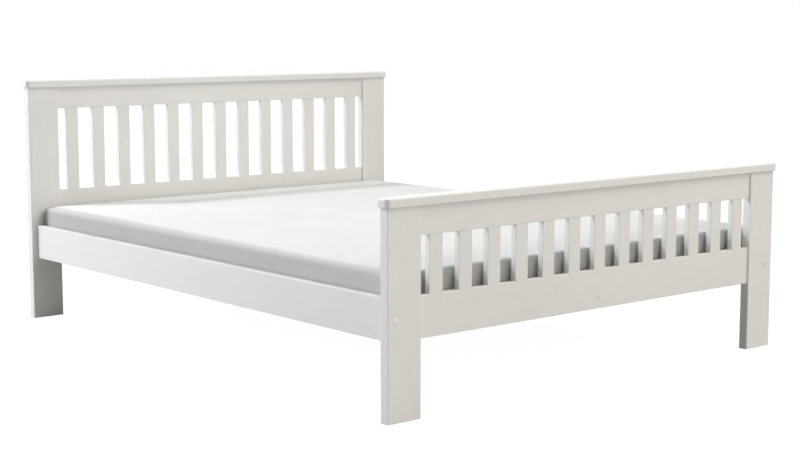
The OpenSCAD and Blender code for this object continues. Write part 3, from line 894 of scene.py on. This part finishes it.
class BED_OT_bare_timber(bpy.types.Operator):
    """Give the bed base, the ledges, the beam, its leg and the dowels their bare wood."""

    bl_idname = "bed.bare_timber"
    bl_label = "Bare timber"

    def execute(self, context):
        settings = context.scene.bed_timber
        low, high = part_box("bed_slats")
        pitch = (high.y - low.y - BED_SLAT_W) / (BED_SLATS - 1)
        # Patterns per metre along each axis
        steps = {"X": (0, 1 / pitch, 0), "Y": (1.5, 0, 0), "Z": (0, 0, 0)}
        for axis, names in BARE.items():
            dress(names, timber_material(f"bare_pine_{axis.lower()}", axis, settings, steps[axis]))
        for axis, names in DOWELS.items():
            name = f"dowel_wood_{axis.lower()}"
            dress(names, timber_material(name, axis, settings, ring_share=0.2, knot_share=0.0))
        return {"FINISHED"}


class BED_OT_fasteners(bpy.types.Operator):
    """Model the connector bolts and wood screws, and plate them with zinc."""

    bl_idname = "bed.fasteners"
    bl_label = "Bolts and screws"

    def execute(self, context):
        settings = context.scene.bed_hardware
        zinc = zinc_material(settings)
        dress(PLATED, zinc)
        self.place_bolts(settings, zinc, "rail_bolts", "side_rail_connector_bolts")
        self.place_bolts(settings, zinc, "beam_bolts", "beam_connector_bolts")
        self.place_slat_screws(settings, zinc)
        self.place_ledge_screws(settings, zinc)
        return {"FINISHED"}

    def place_bolts(self, settings, zinc, node, name):
        """One bolt modelled and copied to where the CAD bolts lie."""
        low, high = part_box(node)
        seat = high.y - settings.bolt_head_t
        inner = max(vert.co.y for vert in NODES[node].data.vertices if vert.co.y < 0)
        pattern = model_bolt(seat + inner, settings)
        head_r = settings.bolt_head_d / 2
        xs = sorted({round(low.x + head_r, 4), round(high.x - head_r, 4)})
        height = (low.z + high.z) / 2
        bolts = []
        for x in xs:
            for end in (-1, 1):
                bolts.append(copied(pattern, (x, end * seat, height), (math.radians(90 * end), 0, 0)))
        bpy.data.objects.remove(pattern)
        finish_piece(joined(bolts, name), zinc, "bed_frame", "zinc_steel", node)

    def place_slat_screws(self, settings, zinc):
        """Two screws in each bed slat."""
        low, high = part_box("slat_screws")
        head_r = settings.screw_head_d / 2
        pattern = model_screw(high.z - low.z, settings)
        pitch = (high.y - low.y - 2 * head_r) / (BED_SLATS - 1)
        turns = random.Random(SCREW_SEED)
        screws = []
        for x in (low.x + head_r, high.x - head_r):
            for i in range(BED_SLATS):
                place = (x, low.y + head_r + i * pitch, high.z)
                screws.append(copied(pattern, place, (0, 0, turns.uniform(0, math.pi / 2))))
        bpy.data.objects.remove(pattern)
        finish_piece(joined(screws, "bed_slat_screws"), zinc, "bed_frame", "zinc_steel", "slat_screws")

    def place_ledge_screws(self, settings, zinc):
        """A row of screws along each ledge."""
        low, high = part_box("ledge_screws")
        head_r = settings.screw_head_d / 2
        inner = min(abs(vert.co.x) for vert in NODES["ledge_screws"].data.vertices)
        pattern = model_screw(high.x - inner, settings)
        pitch = (high.y - low.y - 2 * head_r) / (LEDGE_SCREWS - 1)
        height = (low.z + high.z) / 2
        screws = []
        for side in (-1, 1):
            for i in range(LEDGE_SCREWS):
                place = (side * inner, low.y + head_r + i * pitch, height)
                screws.append(copied(pattern, place, (0, math.radians(-90 * side), 0)))
        bpy.data.objects.remove(pattern)
        finish_piece(joined(screws, "ledge_wood_screws"), zinc, "bed_frame", "zinc_steel", "ledge_screws")


class BED_OT_mattress(bpy.types.Operator):
    """Model the mattress, swell it in its cover and sew its seam."""

    bl_idname = "bed.mattress"
    bl_label = "Mattress"

    def execute(self, context):
        settings = context.scene.bed_mattress
        low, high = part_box("mattress")
        inset = Vector((settings.start_inset, settings.start_inset, 0))
        bottom = low + inset
        top = high - inset
        top.y += settings.head_reach
        bottom.y -= settings.foot_reach
        top.z -= settings.crown
        block = mattress_block(settings, bottom, top)
        block.name = block.data.name = "covered_mattress"
        shape_mattress(block, settings, bottom, top)
        swell(block, settings, bottom, top)
        sew_seam(block, settings, low, high)
        make_active(block)
        bpy.ops.object.shade_smooth()
        bpy.ops.object.mode_set(mode="EDIT")
        bpy.ops.mesh.select_all(action="SELECT")
        bpy.ops.uv.cube_project(cube_size=1.0, correct_aspect=False)
        bpy.ops.object.mode_set(mode="OBJECT")
        cover = cloth_material(settings, low, high)
        finish_piece(block, cover, "mattress", "mattress_cloth", "mattress")
        return {"FINISHED"}


class BED_OT_stage(bpy.types.Operator):
    """Set the floor, the sky, the lamps and the camera."""

    bl_idname = "bed.stage"
    bl_label = "Stage"

    def execute(self, context):
        settings = context.scene.bed_stage
        context.scene.view_settings.view_transform = "Standard"
        self.make_sky(context, settings)
        self.make_floor(settings)
        for name in COOL_LAMPS + WARM_LAMPS:
            colour = settings.warm if name in WARM_LAMPS else settings.cool
            place, size, power = (getattr(settings, f"{name}_{part}") for part in ("place", "size", "power"))
            self.make_lamp(f"{name}_light", power, size, place, colour)
        self.make_camera(context, settings)
        return {"FINISHED"}

    def seen_rays(self, tree):
        """1 for rays from the camera, off gloss and through glass."""
        path = add_node(tree, "ShaderNodeLightPath")
        seen = maths(tree, "MAXIMUM", path.outputs["Is Camera Ray"], path.outputs["Is Glossy Ray"])
        return maths(tree, "MAXIMUM", seen, path.outputs["Is Transmission Ray"])

    def make_sky(self, context, settings):
        """A pale sky that is warm in front and cool behind, and shows white."""
        world = bpy.data.worlds.new("soft_sky")
        context.scene.world = world
        world.use_nodes = True
        tree = world.node_tree
        tree.nodes.clear()
        direction = add_node(tree, "ShaderNodeSeparateXYZ")
        wire(tree, (add_node(tree, "ShaderNodeTexCoord").outputs["Generated"], direction.inputs[0]))
        turn = maths(tree, "SUBTRACT", direction.outputs["Y"], direction.outputs["X"])
        behind = remapped(tree, turn, 0.0, 1.0, start=-1.0, end=1.0)
        tone = mixed(tree, behind, settings.sky_warm, settings.sky_cool)
        light = add_node(tree, "ShaderNodeBackground", Strength=settings.sky_level)
        white = add_node(tree, "ShaderNodeBackground", Color=(1, 1, 1, 1), Strength=1.0)
        mix = add_node(tree, "ShaderNodeMixShader")
        result = add_node(tree, "ShaderNodeOutputWorld")
        wire(
            tree,
            (tone, light.inputs["Color"]),
            (self.seen_rays(tree), mix.inputs[0]),
            (light.outputs[0], mix.inputs[1]),
            (white.outputs[0], mix.inputs[2]),
            (mix.outputs[0], result.inputs["Surface"]),
        )

    def make_floor(self, settings):
        """A floor that shows white with a soft shadow, and gives part of its light back to the bed."""
        clear_selection()
        bpy.ops.mesh.primitive_circle_add(
            vertices=96, radius=30, fill_type="NGON", location=(0, 0, -FLOOR_DROP)
        )
        floor = bpy.context.object
        floor.name = "studio_floor"
        material = bpy.data.materials.new("pale_floor")
        material.use_nodes = True
        tree = material.node_tree
        tree.nodes.clear()
        bounce = add_node(tree, "ShaderNodeBsdfDiffuse", Color=(*(settings.floor_bounce,) * 3, 1))
        catcher = add_node(tree, "ShaderNodeBsdfDiffuse", Color=(0.2, 0.2, 0.2, 1))
        glow = add_node(tree, "ShaderNodeEmission", Color=(1, 1, 1, 1), Strength=settings.floor_glow)
        shown = add_node(tree, "ShaderNodeAddShader")
        mix = add_node(tree, "ShaderNodeMixShader")
        result = add_node(tree, "ShaderNodeOutputMaterial")
        wire(
            tree,
            (catcher.outputs[0], shown.inputs[0]),
            (glow.outputs[0], shown.inputs[1]),
            (self.seen_rays(tree), mix.inputs[0]),
            (bounce.outputs[0], mix.inputs[1]),
            (shown.outputs[0], mix.inputs[2]),
            (mix.outputs[0], result.inputs["Surface"]),
        )
        floor.data.materials.append(material)

    def make_lamp(self, name, power, size, place, colour):
        """A square area light that faces the bed."""
        light = bpy.data.lights.new(name, "AREA")
        light.energy = power
        light.size = size
        light.color = colour
        lamp = bpy.data.objects.new(name, light)
        bpy.context.scene.collection.objects.link(lamp)
        lamp.location = place
        lamp.rotation_euler = (LAMP_AIM - Vector(place)).to_track_quat("-Z", "Y").to_euler()

    def make_camera(self, context, settings):
        """The camera where the photograph was taken from."""
        lens = bpy.data.cameras.new("bed_camera")
        lens.lens = settings.focal
        lens.sensor_width = SENSOR_W
        camera = bpy.data.objects.new("bed_camera", lens)
        context.scene.collection.objects.link(camera)
        camera.location = settings.camera_place
        camera.rotation_euler = (math.radians(90) - settings.camera_pitch, 0, -settings.camera_heading)
        context.scene.camera = camera


OPERATORS = [
    BED_OT_stage,
    BED_OT_painted_boards,
    BED_OT_bare_timber,
    BED_OT_fasteners,
    BED_OT_mattress,
]


class BED_PT_sidebar(bpy.types.Panel):
    """The bed's settings and the buttons that make its pieces."""

    bl_label = "Slatted Bed"
    bl_idname = "BED_PT_sidebar"
    bl_space_type = "VIEW_3D"
    bl_region_type = "UI"
    bl_category = "Bed"

    def draw(self, context):
        layout = self.layout
        for operator in OPERATORS:
            layout.operator(operator.bl_idname)
        for name, group in SETTINGS.items():
            box = layout.box()
            box.label(text=group.__doc__)
            for prop in group.__annotations__:
                box.prop(getattr(context.scene, name), prop)


CLASSES = [*SETTINGS.values(), *OPERATORS, BED_PT_sidebar]


def register():
    """Adds the classes and the settings."""
    for cls in CLASSES:
        bpy.utils.register_class(cls)
    for name, group in SETTINGS.items():
        setattr(bpy.types.Scene, name, PointerProperty(type=group))


def unregister():
    """Takes the settings and the classes away again."""
    for name in SETTINGS:
        delattr(bpy.types.Scene, name)
    for cls in reversed(CLASSES):
        bpy.utils.unregister_class(cls)


def main():
    """Makes the whole bed."""
    register()
    for operator in OPERATORS:
        family, name = operator.bl_idname.split(".")
        getattr(getattr(bpy.ops, family), name)()


if __name__ == "__main__":
    main()
